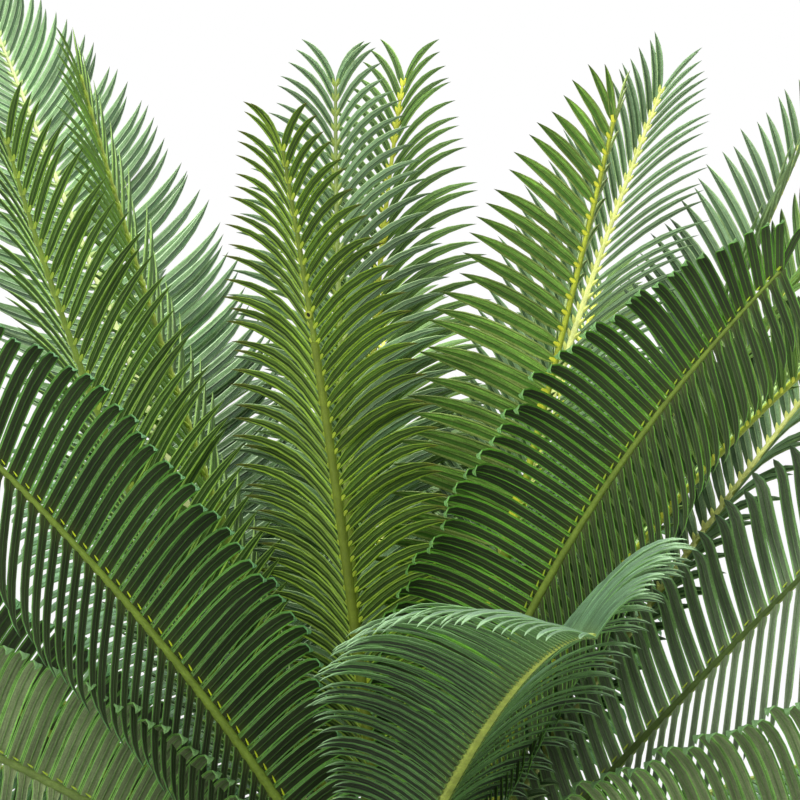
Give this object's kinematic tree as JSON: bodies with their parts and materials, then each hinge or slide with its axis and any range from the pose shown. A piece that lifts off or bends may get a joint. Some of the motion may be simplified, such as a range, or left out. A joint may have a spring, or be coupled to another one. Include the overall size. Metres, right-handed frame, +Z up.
{
  "type": "artificial sago palm",
  "caption": "Artificial sago palm: a short scaly trunk with a root flare, carrying a full crown of stiff moulded fronds, upright inside and arching outside.",
  "frame": {"origin": "centre of the flat cut under the trunk, at ground level", "axes": "+Z up the trunk, -Y towards the side that the picture shows, +X to the picture's right"},
  "size_m": [1.5067, 1.4768, 0.9955],
  "materials": {
    "bark": "moulded brown scales with fibre grain",
    "upright_fronds": "mid green moulded leaflets with yellow bases and light edges",
    "arching_fronds": "dark green moulded leaflets with bright green edges"
  },
  "bodies": {
    "root": {"trunk": "bark", "frond_01": "upright_fronds", "frond_02": "upright_fronds", "frond_03": "upright_fronds", "frond_04": "upright_fronds", "frond_05": "upright_fronds", "frond_06": "upright_fronds", "frond_07": "arching_fronds", "frond_08": "arching_fronds", "frond_09": "arching_fronds", "frond_10": "upright_fronds", "frond_11": "upright_fronds", "frond_12": "upright_fronds", "frond_13": "upright_fronds", "frond_14": "upright_fronds", "frond_15": "upright_fronds", "frond_16": "upright_fronds", "frond_17": "upright_fronds", "frond_18": "upright_fronds", "frond_19": "arching_fronds", "frond_20": "arching_fronds", "frond_21": "arching_fronds", "frond_22": "arching_fronds", "frond_23": "arching_fronds", "frond_24": "arching_fronds", "frond_25": "arching_fronds", "frond_26": "arching_fronds", "frond_27": "arching_fronds", "frond_28": "arching_fronds", "frond_29": "arching_fronds", "frond_30": "arching_fronds", "frond_31": "arching_fronds", "frond_32": "arching_fronds", "frond_33": "arching_fronds", "frond_34": "arching_fronds"}
  },
  "joints": []
}
